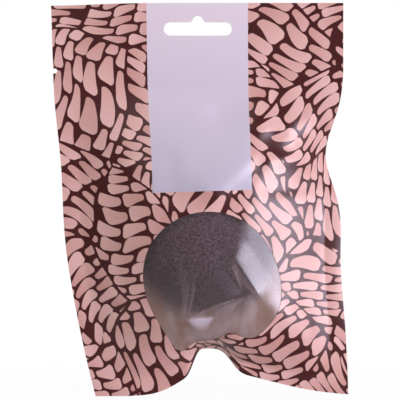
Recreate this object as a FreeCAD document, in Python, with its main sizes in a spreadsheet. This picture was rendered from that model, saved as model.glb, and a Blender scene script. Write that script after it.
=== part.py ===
import FreeCAD, Part
import math
import os
import Sketcher

# A dry konjac sponge sealed in a flat film pouch that hangs by a slot in its top strip.
# Millimetres, +Z up, front towards -Y, +X to the right seen from the front.
# The origin is the centre of the hanging slot, midway between the two walls of the pouch.

doc = FreeCAD.newDocument("sponge_pouch")
sheet = doc.addObject("Spreadsheet::Sheet", "dims")

# Driving dimensions in millimetres: alias, value and what it measures.
DIMENSIONS = [
    ("film_width", 136.5, "pouch width, edge to edge of the flat film"),
    ("film_height", 185.0, "pouch height, bottom edge to top edge of the flat film"),
    ("ply", 0.10, "thickness of each film"),
    ("bond_gap", 0.10, "bond line between two films"),
    ("seal_width", 8.0, "width of the heat seal along the sides and the bottom"),
    ("slot_drop", 12.2, "top edge down to the centre of the hanging slot"),
    ("slot_length", 32.0, "hanging slot, end to end"),
    ("slot_height", 6.4, "height of the straight part of the slot"),
    ("peg_radius", 3.4, "radius of the round rise in the middle of the slot"),
    ("peg_rise", 6.2, "centre of the slot up to the top of that rise"),
    ("strip_height", 32.0, "top edge down to the tear line"),
    ("tear_gap", 0.10, "gap between strip and panel along the tear line"),
    ("notch_radius", 1.2, "radius of the tear notch"),
    ("notch_inset", 0.8, "left edge of the film to the centre of the notch"),
    ("window_diameter", 64.0, "round opening in the printed front film"),
    ("window_drop", 19.9, "middle of the sponge down to the centre of the window"),
    ("window_offset", 2.0, "centre line of the panel across to the centre of the window"),
    ("window_sink", 9.0, "top of the dome back to the deepest edge of the window"),
    ("sponge_diameter", 72.0, "sponge across its rim"),
    ("sponge_thickness", 31.0, "flat back of the sponge to the top of its dome"),
    ("sponge_front", 19.0, "middle of the pouch forwards to the top of the dome"),
    ("sponge_rim", 9.0, "rounding of the rim of the sponge"),
    ("sponge_drop", 1.5, "middle of the height of the panel down to the middle of the sponge"),
    ("sponge_travel", 6.0, "how far the sponge can slip upwards in the pouch"),
    ("sponge_clearance", 0.5, "room between the sponge and the films"),
    ("left_draw", 20.0, "how far the bottom left corner is drawn in"),
    ("right_flare", 2.4, "how far the bottom right corner stands out"),
    ("left_waist", 2.2, "how far the bulge draws the left edge in"),
    ("left_waist_drop", 76.0, "top edge down to where the left edge is drawn in most"),
    ("left_waist_half", 28.0, "half length of that stretch of the left edge"),
    ("right_waist", 2.2, "how far the bulge draws the right edge in"),
    ("right_waist_drop", 117.0, "top edge down to where the right edge is drawn in most"),
    ("right_waist_half", 34.0, "half length of that stretch of the right edge"),
    ("curl_depth", 8.0, "how far the right edge is drawn in where it curls"),
    ("curl_back", 9.0, "how far that edge turns backwards"),
    ("curl_drop", 71.0, "top edge down to the middle of the curl"),
    ("curl_half", 20.0, "half length of the curl along the edge"),
    ("arch_rise", 13.2, "height of the narrow arch in the bottom seam"),
    ("arch_half", 10.6, "half width of the narrow arch"),
    ("arch_offset", -5.2, "middle of the bottom edge across to the middle of the arch"),
    ("swell_rise", 11.0, "height of the wide arch in the bottom seam"),
    ("swell_left", 21.0, "half width of the wide arch on its left"),
    ("swell_right", 45.0, "half width of the wide arch on its right"),
    ("fold_front", 32.0, "height of the front film that the arch folds under"),
    ("fold_back", 48.0, "height of the back film that the arch lifts"),
    ("seam_back", 7.0, "how far the seam turns backwards at the arch"),
    ("net_step", 4.0, "spacing of the points that shape a film"),
]
for row, (alias, value, meaning) in enumerate(DIMENSIONS, start=1):
    sheet.set(f"A{row}", alias)
    sheet.set(f"B{row}", str(value))
    sheet.set(f"C{row}", meaning)
    sheet.setAlias(f"B{row}", alias)
doc.recompute()


def size(alias):
    """A driving dimension, read from the sheet."""
    return float(sheet.get(alias))


# Levels worked out from the driving dimensions.
top_level = size("slot_drop")
bottom_level = top_level - size("film_height")
panel_height = size("film_height") - size("strip_height") - size("tear_gap") / 2
tear_level = top_level - size("strip_height")
half_width = size("film_width") / 2
sponge_level = bottom_level + panel_height / 2 - size("sponge_drop")
sponge_radius = size("sponge_diameter") / 2
sponge_back = size("sponge_thickness") - size("sponge_front")

FRONT, BACK = -1, 1
CURL_REACH = 8  # power that keeps the curl close to the right edge
CROWN = {FRONT: 2, BACK: 4}  # powers of the bulge: 2 is round, 4 has a flatter middle
LOWER_CROWN = 4  # power of both walls below the middle of the sponge
PILLOW_EASE = 1.3  # power that lets the bulge run out gently into the seals

# How many places of the sponge a bulge is tried at, and the rounds that find each on the film.
RINGS, SPOKES, SLIPS, ROUNDS = 9, 16, 3, 6


def ramp(share):
    """Zero below 0, then rising in a straight line with a short round start."""
    softness = 0.1
    return (share + math.sqrt(share * share + softness * softness)) / 2


# Shape of the panel films

def bell(above_bottom, drop, half_length):
    """One at a drop below the top edge, falling off over a half length, and zero at the tear line."""
    from_middle = size("film_height") - size(drop) - above_bottom
    at_tear_line = size("film_height") - size(drop) - panel_height
    falls_to = math.exp(-((at_tear_line / size(half_length)) ** 2))
    return max(0, math.exp(-((from_middle / size(half_length)) ** 2)) - falls_to)


def panel_sides(above_bottom):
    """Left and right edge of the panel at a height on the flat film, before the curl."""
    drop = 1 - above_bottom / panel_height
    left = -half_width + size("left_draw") * drop**2
    left += size("left_waist") * bell(above_bottom, "left_waist_drop", "left_waist_half")
    right = half_width + size("right_flare") * drop**2
    right -= size("right_waist") * bell(above_bottom, "right_waist_drop", "right_waist_half")
    return left, right


def seam_arch(across):
    """Narrow arch of the bottom seam, from 0 to 1, at a share of the width from the left edge."""
    left, right = panel_sides(0)
    from_middle = left + across * (right - left) - (left + right) / 2 - size("arch_offset")
    return math.exp(-((from_middle / size("arch_half")) ** 4)), from_middle


def seam_lift(across):
    """How far the bottom seam is lifted: a narrow arch on top of a wide one."""
    narrow, from_middle = seam_arch(across)
    reach = size("swell_left") if from_middle < 0 else size("swell_right")
    wide = math.exp(-((from_middle / reach) ** 2))
    return size("arch_rise") * narrow + size("swell_rise") * wide


def fold_share(above_bottom, side):
    """Share of the seam's lift that is left at a height on the flat film."""
    at_seal = ramp(1 - size("seal_width") / size("fold_front"))
    if side == FRONT or above_bottom < size("seal_width"):
        return ramp(1 - above_bottom / size("fold_front"))
    beyond = (above_bottom - size("seal_width")) / (size("fold_back") - size("seal_width"))
    return at_seal * max(0, 1 - beyond)


def crown(share, power):
    """One at the middle, zero at a share of 1 and beyond."""
    return max(0, 1 - abs(share) ** power) ** PILLOW_EASE


def pillow(across, above_bottom, side):
    """Depth of the bulge over the sponge as a share of its greatest depth."""
    seal = size("seal_width")
    from_middle = (across - 0.5) * size("film_width") / (half_width - seal)
    sponge_height = sponge_level - bottom_level
    if above_bottom < sponge_height:
        along = crown((sponge_height - above_bottom) / (sponge_height - seal), LOWER_CROWN)
    else:
        upper_reach = panel_height - seal - sponge_height
        along = crown((above_bottom - sponge_height) / upper_reach, CROWN[side])
    return crown(from_middle, CROWN[side]) * along


def panel_point(across, above_bottom, side, depth):
    """A point on the inner face of one wall of the panel."""
    left, right = panel_sides(above_bottom)
    curl = bell(above_bottom, "curl_drop", "curl_half") * across**CURL_REACH
    narrow, _ = seam_arch(across)
    x = left + across * (right - left) - size("curl_depth") * curl
    middle = size("curl_back") * curl
    middle += size("seam_back") * narrow * max(0, 1 - above_bottom / size("seal_width"))
    y = middle + side * depth * pillow(across, above_bottom, side)
    z = bottom_level + above_bottom + seam_lift(across) * fold_share(above_bottom, side)
    return FreeCAD.Vector(x, y, z)


# The sponge's section: a dome arc that runs into a round rim, and a flat back.
rim = size("sponge_rim")
rim_centre_radius = sponge_radius - rim
rim_centre_depth = sponge_back - rim
dome_radius = (
    rim_centre_radius**2 + (size("sponge_thickness") - rim) ** 2 - rim**2
) / (2 * (size("sponge_thickness") - 2 * rim))
dome_centre_depth = dome_radius - size("sponge_front")
tangent_share = dome_radius / (dome_radius - rim)
tangent_radius = rim_centre_radius * tangent_share
tangent_depth = dome_centre_depth + (rim_centre_depth - dome_centre_depth) * tangent_share


def sponge_reach(radius, side):
    """How far the sponge reaches from the middle of the pouch, at a radius from its axis."""
    if side == FRONT:
        return math.sqrt(dome_radius**2 - min(radius, tangent_radius) ** 2) - dome_centre_depth
    beyond = max(0, radius - rim_centre_radius)
    return rim_centre_depth + math.sqrt(max(0, rim**2 - beyond**2))


def panel_place(x, z, side):
    """Share across the width and height on the flat film of a point seen from the front."""
    height = z - bottom_level
    for _ in range(ROUNDS):
        left, right = panel_sides(height)
        across = (x - left) / (right - left)
        height = z - bottom_level - seam_lift(across) * fold_share(height, side)
    return across, height


sponge_share = (tear_level - sponge_level) / panel_height
sponge_middle = (size("left_draw") + size("right_flare")) / 2 * sponge_share**2


def bulge_depth(side):
    """The least depth of a wall's bulge that clears the sponge wherever it slips to."""
    need = 0
    for ring in range(RINGS):
        radius = sponge_radius * ring / RINGS
        for spoke in range(SPOKES):
            turn = 2 * math.pi * spoke / SPOKES
            for slip in range(SLIPS):
                x = sponge_middle + radius * math.cos(turn)
                z = sponge_level + radius * math.sin(turn)
                z += size("sponge_travel") * slip / (SLIPS - 1)
                across, height = panel_place(x, z, side)
                room = sponge_reach(radius, side) + size("sponge_clearance")
                need = max(need, room / pillow(across, height, side))
    return need


# Film solids

def film_net(side, depth):
    """Rows of points over one wall, with the direction in which its films are stacked."""
    columns = round(size("film_width") / size("net_step")) + 1
    rows = round(panel_height / size("net_step")) + 1
    small = 0.001
    points, outwards = [], []
    for i in range(columns):
        across = i / (columns - 1)
        points.append([])
        outwards.append([])
        for j in range(rows):
            height = panel_height * j / (rows - 1)
            here = panel_point(across, height, side, depth)
            low = max(0, height - small)
            high = min(panel_height, height + small)
            step_across = panel_point(across + small, height, side, depth)
            step_across -= panel_point(across - small, height, side, depth)
            step_up = panel_point(across, high, side, depth)
            step_up -= panel_point(across, low, side, depth)
            normal = step_across.cross(step_up)
            normal.normalize()
            points[-1].append(here)
            outwards[-1].append(normal if side == FRONT else -normal)
    return points, outwards


def smooth_surface(points):
    """A cubic B-spline surface that has the given points as its control net."""
    u_degree, v_degree = 3, 3
    knots, repeats = [], []
    for count, degree in ((len(points), u_degree), (len(points[0]), v_degree)):
        spans = count - degree
        knots.append([float(k) for k in range(spans + 1)])
        repeats.append([degree + 1] + [1] * (spans - 1) + [degree + 1])
    surface = Part.BSplineSurface()
    surface.buildFromPolesMultsKnots(
        points, repeats[0], repeats[1], knots[0], knots[1], False, False, u_degree, v_degree
    )
    return surface


def film_solid(points, outwards, inner, outer):
    """A film between two distances from the wall's inner face, closed along its four edges."""
    surfaces = []
    for distance in (inner, outer):
        net = [
            [point + way * distance for point, way in zip(point_row, way_row)]
            for point_row, way_row in zip(points, outwards)
        ]
        surfaces.append(smooth_surface(net))
    faces = [surface.toShape() for surface in surfaces]
    u_first, u_last, v_first, v_last = surfaces[0].bounds()
    for u_end in (u_first, u_last):
        edges = [surface.uIso(u_end).toShape() for surface in surfaces]
        faces.append(Part.makeRuledSurface(*edges))
    for v_end in (v_first, v_last):
        edges = [surface.vIso(v_end).toShape() for surface in surfaces]
        faces.append(Part.makeRuledSurface(*edges))
    shell = Part.makeShell(faces)
    shell.sewShape()
    solid = Part.makeSolid(shell)
    if solid.Volume < 0:
        solid.reverse()
    return solid


# Tools that cut the notch and the window

def cutter(name, radius, x_place, z_place, length):
    """A round cutter along Y that starts well in front of the pouch."""
    tool = doc.addObject("Part::Cylinder", name)
    tool.Label = name
    tool.setExpression("Radius", radius)
    tool.setExpression("Height", length)
    tool.Placement = FreeCAD.Placement(
        FreeCAD.Vector(), FreeCAD.Rotation(FreeCAD.Vector(1, 0, 0), -90)
    )
    tool.setExpression("Placement.Base.x", x_place)
    tool.setExpression("Placement.Base.y", "-2 * dims.sponge_thickness")
    tool.setExpression("Placement.Base.z", z_place)
    return tool


TEAR_LEVEL = "dims.slot_drop - dims.strip_height"
NOTCH_MIDDLE = "dims.notch_inset - dims.film_width / 2"
PANEL_HEIGHT = "(dims.film_height - dims.strip_height - dims.tear_gap / 2)"
SPONGE_LEVEL = f"dims.slot_drop - dims.film_height + {PANEL_HEIGHT} / 2 - dims.sponge_drop"
WINDOW_LEVEL = f"{SPONGE_LEVEL} - dims.window_drop"


def centre_line(level):
    """Expression for where the panel's leaning centre line is, at a level."""
    lean = "(dims.left_draw + dims.right_flare) / 2"
    return f"{lean} * (({TEAR_LEVEL} - ({level})) / {PANEL_HEIGHT})^2"


# The notch goes through both walls. The window stops short of the film that the arch folds under.
through = "4 * dims.sponge_thickness"
notch_cutter = cutter("notch_cutter", "dims.notch_radius", NOTCH_MIDDLE, TEAR_LEVEL, through)
window_middle = "dims.window_offset + " + centre_line(WINDOW_LEVEL)
window_stop = "2 * dims.sponge_thickness - dims.sponge_front + dims.window_sink"
window_cutter = cutter(
    "window_cutter", "dims.window_diameter / 2", window_middle, WINDOW_LEVEL, window_stop
)


def cut(name, base, tool):
    """One piece less the space of a cutter."""
    piece = doc.addObject("Part::Cut", name)
    piece.Label = name
    piece.Base = base
    piece.Tool = tool
    return piece


# Panel films

# Distances of a wall's two films from the middle of the pouch, at a seal.
clear_inner = size("bond_gap") / 2
clear_outer = clear_inner + size("ply")
printed_inner = clear_outer + size("bond_gap")
printed_outer = printed_inner + size("ply")


def panel_film(name, side, inner, outer, has_window=False):
    """One film of the panel, with its half of the tear notch and, on the front, the window."""
    film = doc.addObject("Part::Feature", name + "_uncut")
    film.Shape = film_solid(*nets[side], inner, outer)
    film.Placement = FreeCAD.Placement()
    if has_window:
        film = cut(name + "_unnotched", film, window_cutter)
    return cut(name, film, notch_cutter)


nets = {side: film_net(side, bulge_depth(side)) for side in (FRONT, BACK)}
pieces = [
    panel_film("front_printed_film", FRONT, printed_inner, printed_outer, has_window=True),
    panel_film("front_clear_film", FRONT, clear_inner, clear_outer),
    panel_film("back_clear_film", BACK, clear_inner, clear_outer),
    panel_film("back_printed_film", BACK, printed_inner, printed_outer),
]


# Sketch helpers

def new_sketch(body, name, plane):
    """An empty sketch on one of a body's own origin planes."""
    sketch = body.newObject("Sketcher::SketchObject", name)
    support = [feature for feature in body.Origin.OriginFeatures if feature.Role == plane][0]
    sketch.AttachmentSupport = [(support, "")]
    sketch.MapMode = "FlatFace"
    return sketch


def bind(sketch, constraint, expression):
    """Add a dimension to a sketch and tie it to the sheet."""
    index = sketch.addConstraint(constraint)
    sketch.setExpression(f"Constraints[{index}]", expression)


ORIGIN = (-1, 1)  # a sketch's own origin point
LEVEL_AXIS, UPRIGHT_AXIS = -1, -2  # a sketch's own axes
START, END, CENTRE = 1, 2, 3  # points of a line, an arc or a circle


def closed_loop(sketch, corners):
    """Straight lines round a list of corners, joined end to start."""
    count = len(corners)
    lines = []
    for i in range(count):
        line = Part.LineSegment(corners[i], corners[(i + 1) % count])
        lines.append(sketch.addGeometry(line, False))
    for i in range(count):
        joint = Sketcher.Constraint("Coincident", lines[i], END, lines[(i + 1) % count], START)
        sketch.addConstraint(joint)
    return lines


def place_x(sketch, geometry, point, expression, value):
    """Fix a point of a sketch by its distance along X from the sketch's origin."""
    bind(sketch, Sketcher.Constraint("DistanceX", *ORIGIN, geometry, point, value), expression)


def place_y(sketch, geometry, point, expression, value):
    """Fix a point of a sketch by its distance along Y from the sketch's origin."""
    bind(sketch, Sketcher.Constraint("DistanceY", *ORIGIN, geometry, point, value), expression)


def keep_on(sketch, geometry, point, axis):
    """Keep a point of a sketch on one of the sketch's own axes."""
    sketch.addConstraint(Sketcher.Constraint("PointOnObject", geometry, point, axis))


def circle_sketch(body, name, radius, x_value, y_value):
    """A sketch of one circle on the XZ plane, and the circle in it."""
    sketch = new_sketch(body, name, "XZ_Plane")
    middle = FreeCAD.Vector(x_value, y_value, 0)
    axis = FreeCAD.Vector(0, 0, 1)
    circle = sketch.addGeometry(Part.Circle(middle, axis, size(radius)), False)
    bind(sketch, Sketcher.Constraint("Radius", circle, size(radius)), f"dims.{radius}")
    return sketch, circle


def slot_sketch(body, name):
    """A sketch of a straight slot with round ends, centred on the origin."""
    sketch = new_sketch(body, name, "XZ_Plane")
    radius = size("slot_height") / 2
    half = size("slot_length") / 2 - radius
    axis = FreeCAD.Vector(0, 0, 1)
    ends = []
    for middle, first in ((half, -math.pi / 2), (-half, math.pi / 2)):
        circle = Part.Circle(FreeCAD.Vector(middle, 0, 0), axis, radius)
        ends.append(sketch.addGeometry(Part.ArcOfCircle(circle, first, first + math.pi), False))
    upper = Part.LineSegment(FreeCAD.Vector(half, radius, 0), FreeCAD.Vector(-half, radius, 0))
    lower = Part.LineSegment(FreeCAD.Vector(-half, -radius, 0), FreeCAD.Vector(half, -radius, 0))
    upper = sketch.addGeometry(upper, False)
    lower = sketch.addGeometry(lower, False)
    right_end, left_end = ends
    for arc, arc_point, line, line_point in (
        (right_end, END, upper, START),
        (left_end, START, upper, END),
        (left_end, END, lower, START),
        (right_end, START, lower, END),
    ):
        sketch.addConstraint(Sketcher.Constraint("Tangent", arc, arc_point, line, line_point))
    bind(sketch, Sketcher.Constraint("Radius", right_end, radius), "dims.slot_height / 2")
    half_expression = "(dims.slot_length - dims.slot_height) / 2"
    place_x(sketch, right_end, CENTRE, half_expression, half)
    place_x(sketch, left_end, CENTRE, "-" + half_expression, -half)
    keep_on(sketch, right_end, CENTRE, LEVEL_AXIS)
    return sketch


# Tear-off strip

def pocket_through(body, sketch, name):
    """Cut a sketch's outline right through the strip, both ways from its plane."""
    pocket = body.newObject("PartDesign::Pocket", name)
    pocket.Profile = sketch
    pocket.Type = "ThroughAll"
    pocket.SideType = "Symmetric"
    before = body.Shape.Volume
    doc.recompute()
    if not body.Shape.Volume < before:
        raise RuntimeError(name + " cuts nothing")


def strip_film(name, back_face):
    """One flat film of the strip: its outline, the hanging slot and its half of the notch."""
    body = doc.addObject("PartDesign::Body", name)
    body.Label = name
    outline = new_sketch(body, name + "_outline", "XZ_Plane")
    lower_level = tear_level + size("tear_gap") / 2
    corners = [
        FreeCAD.Vector(-half_width, lower_level, 0),
        FreeCAD.Vector(half_width, lower_level, 0),
        FreeCAD.Vector(half_width, top_level, 0),
        FreeCAD.Vector(-half_width, top_level, 0),
    ]
    lower, right, upper, left = closed_loop(outline, corners)
    for line in (lower, upper):
        outline.addConstraint(Sketcher.Constraint("Horizontal", line))
    for line in (right, left):
        outline.addConstraint(Sketcher.Constraint("Vertical", line))
    place_x(outline, lower, START, "-dims.film_width / 2", -half_width)
    place_y(outline, lower, START, TEAR_LEVEL + " + dims.tear_gap / 2", lower_level)
    place_x(outline, upper, START, "dims.film_width / 2", half_width)
    place_y(outline, upper, START, "dims.slot_drop", top_level)
    pad = body.newObject("PartDesign::Pad", name + "_sheet")
    pad.Profile = outline
    pad.setExpression("Length", "dims.ply")
    doc.recompute()
    pocket_through(body, slot_sketch(body, name + "_slot_outline"), name + "_slot")
    rise = size("peg_rise") - size("peg_radius")
    peg, circle = circle_sketch(body, name + "_rise_outline", "peg_radius", 0, rise)
    keep_on(peg, circle, CENTRE, UPRIGHT_AXIS)
    place_y(peg, circle, CENTRE, "dims.peg_rise - dims.peg_radius", rise)
    pocket_through(body, peg, name + "_rise")
    inset = size("notch_inset") - half_width
    notch, circle = circle_sketch(body, name + "_notch_outline", "notch_radius", inset, tear_level)
    place_x(notch, circle, CENTRE, NOTCH_MIDDLE, inset)
    place_y(notch, circle, CENTRE, TEAR_LEVEL, tear_level)
    pocket_through(body, notch, name + "_notch")
    body.setExpression("Placement.Base.y", back_face)
    return body


pieces += [
    strip_film("strip_front_printed", "-1.5 * dims.bond_gap - dims.ply"),
    strip_film("strip_front_clear", "-0.5 * dims.bond_gap"),
    strip_film("strip_back_clear", "0.5 * dims.bond_gap + dims.ply"),
    strip_film("strip_back_printed", "1.5 * dims.bond_gap + 2 * dims.ply"),
]


# Sponge

def sponge_body(name):
    """A dome with a round rim and a flat back, turned about the Y direction."""
    body = doc.addObject("PartDesign::Body", name)
    body.Label = name
    sketch = new_sketch(body, name + "_section", "XY_Plane")
    axis = FreeCAD.Vector(0, 0, 1)
    tip = FreeCAD.Vector(0, -size("sponge_front"), 0)
    back = FreeCAD.Vector(0, sponge_back, 0)
    rim_start = FreeCAD.Vector(rim_centre_radius, sponge_back, 0)
    tangent = FreeCAD.Vector(tangent_radius, tangent_depth, 0)
    dome_circle = Part.Circle(FreeCAD.Vector(0, dome_centre_depth, 0), axis, dome_radius)
    rim_circle = Part.Circle(FreeCAD.Vector(rim_centre_radius, rim_centre_depth, 0), axis, rim)
    dome_end = math.atan2(tangent_depth - dome_centre_depth, tangent_radius)
    rim_first = math.atan2(tangent_depth - rim_centre_depth, tangent_radius - rim_centre_radius)
    middle_line = sketch.addGeometry(Part.LineSegment(back, tip), False)
    dome = sketch.addGeometry(Part.ArcOfCircle(dome_circle, -math.pi / 2, dome_end), False)
    rim_arc = sketch.addGeometry(Part.ArcOfCircle(rim_circle, rim_first, math.pi / 2), False)
    back_line = sketch.addGeometry(Part.LineSegment(rim_start, back), False)
    sketch.addConstraint(Sketcher.Constraint("Coincident", middle_line, END, dome, START))
    sketch.addConstraint(Sketcher.Constraint("Tangent", dome, END, rim_arc, START))
    sketch.addConstraint(Sketcher.Constraint("Tangent", rim_arc, END, back_line, START))
    sketch.addConstraint(Sketcher.Constraint("Coincident", back_line, END, middle_line, START))
    sketch.addConstraint(Sketcher.Constraint("Horizontal", back_line))
    bind(sketch, Sketcher.Constraint("Radius", rim_arc, rim), "dims.sponge_rim")
    for point in (START, END):
        keep_on(sketch, middle_line, point, UPRIGHT_AXIS)
    keep_on(sketch, dome, CENTRE, UPRIGHT_AXIS)
    place_y(sketch, middle_line, END, "-dims.sponge_front", tip.y)
    place_y(sketch, middle_line, START, "dims.sponge_thickness - dims.sponge_front", back.y)
    rim_place = "dims.sponge_diameter / 2 - dims.sponge_rim"
    place_x(sketch, rim_arc, CENTRE, rim_place, rim_centre_radius)
    turned = body.newObject("PartDesign::Revolution", name + "_turned")
    turned.Profile = sketch
    turned.ReferenceAxis = (sketch, ["V_Axis"])
    turned.Angle = 360
    body.setExpression("Placement.Base.x", centre_line(SPONGE_LEVEL))
    body.setExpression("Placement.Base.z", SPONGE_LEVEL)
    return body


pieces.append(sponge_body("konjac_sponge"))
doc.recompute()

# Every object has to be sound before anything is written.
for item in doc.Objects:
    if "Invalid" in item.State or "Error" in item.State:
        raise RuntimeError(f"{item.Name} failed: {item.State}")
for piece in pieces:
    if piece.Shape.isNull() or not piece.Shape.isValid() or len(piece.Shape.Solids) != 1:
        raise RuntimeError(f"{piece.Label} isn't one sound solid")

os.makedirs("parts", exist_ok=True)
for piece in pieces:
    piece.Shape.exportStep(f"parts/{piece.Label}.step")
    print(f"{piece.Label}: {piece.Shape.Volume:.1f} mm3")
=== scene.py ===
# %% [markdown]
# A dry cleansing sponge is sold in a flat film pouch that hangs from a peg. The pouch has two walls, and each
# wall is two thin films: a printed one outside and a clear one inside. A round opening in the printed front
# leaves only the clear film there, so the dark sponge shows through it.
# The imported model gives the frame: every size below is read from it or measured from its pieces, in metres.

# %% Load the frame
import math

import bpy
import numpy as np
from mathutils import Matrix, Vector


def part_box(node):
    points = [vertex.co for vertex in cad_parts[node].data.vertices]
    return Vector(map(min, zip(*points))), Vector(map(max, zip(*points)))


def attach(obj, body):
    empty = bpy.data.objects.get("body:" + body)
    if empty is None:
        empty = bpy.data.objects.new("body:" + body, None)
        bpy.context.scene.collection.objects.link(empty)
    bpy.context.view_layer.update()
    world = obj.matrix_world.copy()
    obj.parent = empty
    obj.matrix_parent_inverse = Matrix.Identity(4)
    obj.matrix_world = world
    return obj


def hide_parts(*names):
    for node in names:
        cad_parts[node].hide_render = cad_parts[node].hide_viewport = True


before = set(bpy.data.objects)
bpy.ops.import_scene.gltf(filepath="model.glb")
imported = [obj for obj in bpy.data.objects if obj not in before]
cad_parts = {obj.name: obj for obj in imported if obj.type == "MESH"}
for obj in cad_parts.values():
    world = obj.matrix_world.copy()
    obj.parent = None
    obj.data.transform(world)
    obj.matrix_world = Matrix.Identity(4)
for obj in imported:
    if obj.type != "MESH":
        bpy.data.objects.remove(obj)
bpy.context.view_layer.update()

mm = 0.001

# %% Sizes read from the frame
strip_low, strip_high = (np.array(corner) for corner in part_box("strip_front_printed"))
panel_low, panel_high = (np.array(corner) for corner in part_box("front_printed_film"))
sponge_low, sponge_high = (np.array(corner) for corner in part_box("konjac_sponge"))
film_width = strip_high[0] - strip_low[0]
top_level = strip_high[2]
tear_level = (strip_low[2] + panel_high[2]) / 2
bottom_level = panel_low[2]
film_height = top_level - bottom_level
panel_height = tear_level - bottom_level
sponge_middle = (sponge_low + sponge_high) / 2
sponge_radius = (sponge_high[0] - sponge_low[0]) / 2
print(f"pouch {film_width:.4f} x {film_height:.4f} m, sponge radius {sponge_radius:.4f} m")

# %% [markdown]
# The films are made as surfaces: a function takes a share of the width and a height on the flat film, and
# gives the place of that spot on the finished pouch. Working on the flat film keeps the print, the window and
# the notch where the printer and the punch put them, however the film is folded afterwards.
# First come the outlines: the left edge is drawn in towards the bottom, the right edge curls backwards, and
# the bottom seam is buckled up into an arch.

# %% Outline of the panel
FRONT, BACK = -1, 1
seal_width = 8 * mm
left_draw, right_flare = 20 * mm, 2.4 * mm
left_waist, left_waist_height, left_waist_half = 2.2 * mm, film_height - 76 * mm, 28 * mm
right_waist, right_waist_height, right_waist_half = 1.9 * mm, film_height - 121 * mm, 27 * mm
curl_depth, curl_back, curl_height, curl_half = 8 * mm, 9 * mm, film_height - 71 * mm, 20 * mm
CURL_REACH = 8
edge_turn, edge_turn_height, edge_turn_half = 3.2 * mm, film_height - 123 * mm, 42 * mm
EDGE_REACH = 16


def bell(height, middle, half_length):
    """A bell curve along the height, lowered so that it is zero at the tear line and never below zero."""
    at_tear_line = math.exp(-(((panel_height - middle) / half_length) ** 2))
    return np.maximum(0, np.exp(-(((height - middle) / half_length) ** 2)) - at_tear_line)


def panel_sides(height):
    """Left and right edge: straight edges plus a square of the drop, less a bell where the bulge draws in."""
    drop = 1 - height / panel_height
    left = -film_width / 2 + left_draw * drop**2
    left = left + left_waist * bell(height, left_waist_height, left_waist_half)
    right = film_width / 2 + right_flare * drop**2
    right = right - right_waist * bell(height, right_waist_height, right_waist_half)
    return left, right


# %% The arch in the bottom seam
arch_rise, arch_left, arch_right, arch_offset = 10.2 * mm, 7.2 * mm, 13 * mm, -7.2 * mm
swell_rise, swell_left, swell_right = 12.1 * mm, 16.7 * mm, 41 * mm
fold_front, fold_back, seam_back = 32 * mm, 48 * mm, 4 * mm


def soft_ramp(share):
    """Zero below 0 and rising in a straight line above it, with a short round start."""
    softness = 0.1
    return (share + np.sqrt(share**2 + softness**2)) / 2


def seam_arch(across):
    """A flat-topped bell from 0 to 1, wider on its right, and the distance from the middle of the arch."""
    left, right = panel_sides(0)
    from_middle = left + across * (right - left) - (left + right) / 2 - arch_offset
    reach = np.where(from_middle < 0, arch_left, arch_right)
    return np.exp(-((from_middle / reach) ** 4)), from_middle


def seam_lift(across):
    """Lift of the bottom edge: the narrow arch on top of a wide bell that is longer on its right."""
    narrow, from_middle = seam_arch(across)
    reach = np.where(from_middle < 0, swell_left, swell_right)
    return arch_rise * narrow + swell_rise * np.exp(-((from_middle / reach) ** 2))


def fold_share(height, side):
    """Share of that lift left at a height: it runs out over a short fold in front, a longer one behind."""
    in_front = soft_ramp(1 - height / fold_front)
    if side == FRONT:
        return in_front
    at_seal = soft_ramp(np.array(1 - seal_width / fold_front))
    behind = at_seal * np.maximum(0, 1 - (height - seal_width) / (fold_back - seal_width))
    return np.where(height < seal_width, in_front, behind)


print(f"arch lifts the seam by {seam_lift(np.linspace(0, 1, 200)).max() * 1000:.1f} mm")

# %% [markdown]
# The bulge is a crown: one at the middle and zero at the seals. The front is round, because it lies over the
# dome of the sponge, and the back has a flatter middle, because the back of the sponge is flat.

# %% The bulge over the sponge
ply = 0.1 * mm
clear_middle, printed_middle = 0.1 * mm, 0.3 * mm
bulge_depth = {
    FRONT: -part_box("front_clear_film")[0].y - clear_middle,
    BACK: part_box("back_clear_film")[1].y - clear_middle,
}
CROWN = {FRONT: 2, BACK: 4}
LOWER_CROWN, CROWN_EASE = 4, 1.3
sponge_height = sponge_middle[2] - bottom_level


def crown(share, power):
    """One less a power of the share, never below zero, eased by a second power so that it runs out gently."""
    return np.maximum(0, 1 - np.abs(share) ** power) ** CROWN_EASE


def pillow(across, height, side):
    """Depth of the bulge from 0 to 1: a crown across the width times a crown along the height."""
    wide = crown((across - 0.5) * film_width / (film_width / 2 - seal_width), CROWN[side])
    lower = crown((sponge_height - height) / (sponge_height - seal_width), LOWER_CROWN)
    upper = crown((height - sponge_height) / (panel_height - seal_width - sponge_height), CROWN[side])
    return wide * np.where(height < sponge_height, lower, upper)


print(f"bulge {bulge_depth[FRONT] * 1000:.1f} mm in front, {bulge_depth[BACK] * 1000:.1f} mm behind")

# %% [markdown]
# Film that is pulled over a round sponge can't stay smooth. It forms straight ridges from the bulge to the
# corners, short tension folds where the edge curls, and sharp creases in the slack part over the window.
# Each fold here is a ridge along a straight line between two places, seen from the front: a bell across the
# line gives a soft fold, two flat slopes give a sharp crease, and each side has a width of its own.

# %% Folds and creases
photo_scale = 2.125
slot_column, slot_row = 198.2, 28.9


def place(column, row):
    """A place seen from the front, from its column and row in the picture, whose origin is the slot."""
    return np.array([(column - slot_column) / photo_scale, (slot_row - row) / photo_scale]) * mm


def along_line(x, z, start, end):
    """Distance to the right of a line, distance along it from its middle, and half its length."""
    along = end - start
    length = np.hypot(*along)
    along = along / length
    run = (x - start[0]) * along[0] + (z - start[1]) * along[1]
    aside = (x - start[0]) * along[1] - (z - start[1]) * along[0]
    return aside, np.abs(run - length / 2), length / 2


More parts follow.
